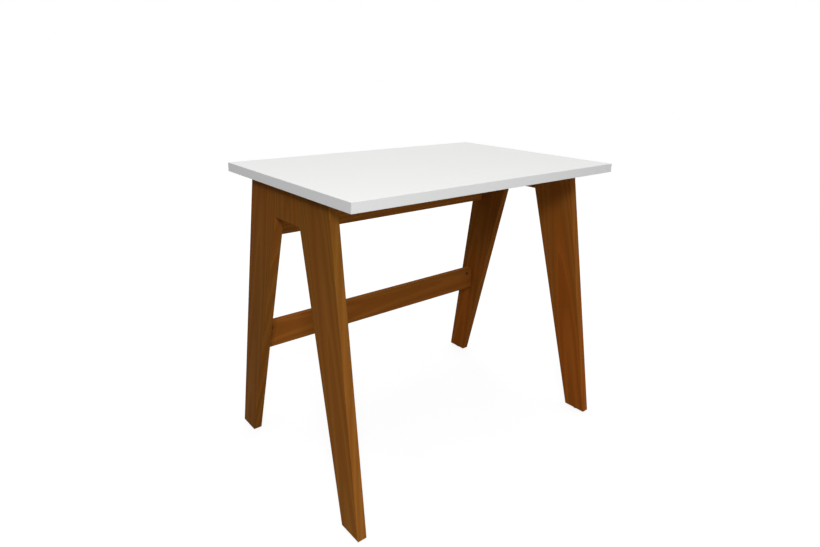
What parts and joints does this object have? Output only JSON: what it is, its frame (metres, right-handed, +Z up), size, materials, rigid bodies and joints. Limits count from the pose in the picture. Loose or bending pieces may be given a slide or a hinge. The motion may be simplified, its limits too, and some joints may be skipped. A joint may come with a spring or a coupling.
{
  "type": "writing desk",
  "caption": "Rectangular white-topped writing desk on tapered wooden A-frame sides, tied together by a rear apron and a low rear stretcher.",
  "frame": {"origin": "on the floor under the middle of the top", "axes": "+X to the right end along the length, +Y to the back where the apron and stretcher are, +Z up"},
  "size_m": [0.9, 0.6, 0.78],
  "materials": {
    "white_laminate": "satin white laminate on a wood-based board",
    "white_edging": "satin white plastic edging",
    "stained_pine": "honey-brown stain under satin lacquer",
    "beech_dowel": "plain",
    "bronzed_zinc": "satin bronze coat",
    "zinc_plated_steel": "zinc plated",
    "brown_plastic": "matt"
  },
  "bodies": {
    "root": {"top_board": "white_laminate", "front_edge_band": "white_edging", "rear_edge_band": "white_edging", "left_edge_band": "white_edging", "right_edge_band": "white_edging", "left_front_leg": "stained_pine", "left_rear_leg": "stained_pine", "left_head_rail": "stained_pine", "right_front_leg": "stained_pine", "right_rear_leg": "stained_pine", "right_head_rail": "stained_pine", "rear_apron": "stained_pine", "rear_stretcher": "stained_pine", "left_frame_dowels": "beech_dowel", "right_frame_dowels": "beech_dowel", "apron_dowels": "beech_dowel", "stretcher_dowels": "beech_dowel", "apron_cams": "bronzed_zinc", "stretcher_cams": "bronzed_zinc", "apron_cam_bolts": "zinc_plated_steel", "stretcher_cam_bolts": "zinc_plated_steel", "left_top_brackets": "zinc_plated_steel", "right_top_brackets": "zinc_plated_steel", "apron_top_brackets": "zinc_plated_steel", "bracket_screws": "zinc_plated_steel", "glide_nails": "zinc_plated_steel", "foot_glides": "brown_plastic"}
  },
  "joints": []
}
